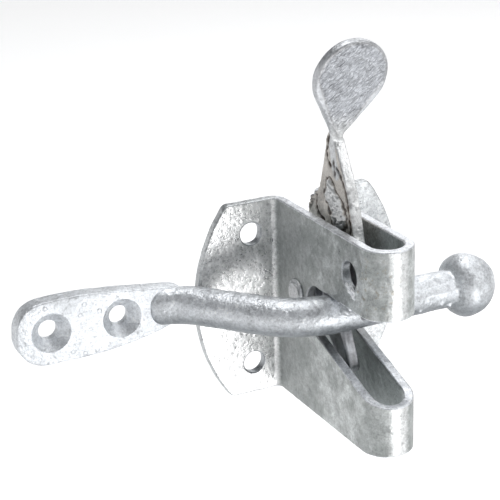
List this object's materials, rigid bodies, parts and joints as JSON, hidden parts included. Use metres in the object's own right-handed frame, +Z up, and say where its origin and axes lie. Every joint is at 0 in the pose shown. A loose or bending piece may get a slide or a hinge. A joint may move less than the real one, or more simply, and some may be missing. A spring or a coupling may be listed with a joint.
{
  "type": "automatic gate latch",
  "caption": "Galvanised automatic gate latch: a folded forked catch with a claw lever and thumb pad, holding a cranked striker bar with a domed head and a screw palm.",
  "frame": {"origin": "middle of the catch's back, on the plane of the post and halfway up the strip", "axes": "+X to the right across the catch walls, along the striker bar to its head; +Y into the post, so the catch stands out towards -Y; +Z up, towards the thumb pad"},
  "size_m": [0.1468, 0.0647, 0.1206],
  "materials": {
    "galvanised_strip": "hot-dip galvanised strip, matt grey with fine spangle",
    "rivet_steel": "pressed rivet head, dull grey",
    "galvanised_lever": "hot-dip galvanised, hammered pad, dark rough flank",
    "galvanised_bar": "hot-dip galvanised forging, bright spangle"
  },
  "bodies": {
    "catch": {"catch_body": "galvanised_strip", "pivot_rivet": "rivet_steel"},
    "lever": {"latch_lever": "galvanised_lever"},
    "striker": {"striker_bar": "galvanised_bar"}
  },
  "joints": [
    {"name": "striker_travel", "type": "slide", "parent": "catch", "child": "striker", "axis": [0, -1, 0], "range_m": [0, 0.0092]},
    {"name": "lever_pivot", "type": "hinge", "parent": "catch", "child": "lever", "pos_m": [0, -0.0162, 0.005], "axis": [-1, 0, 0], "range_deg": [0, 23]}
  ],
  "couplings": [
    {"joint": "lever_pivot", "follows": "striker_travel", "rad_per_m": 43.6}
  ]
}
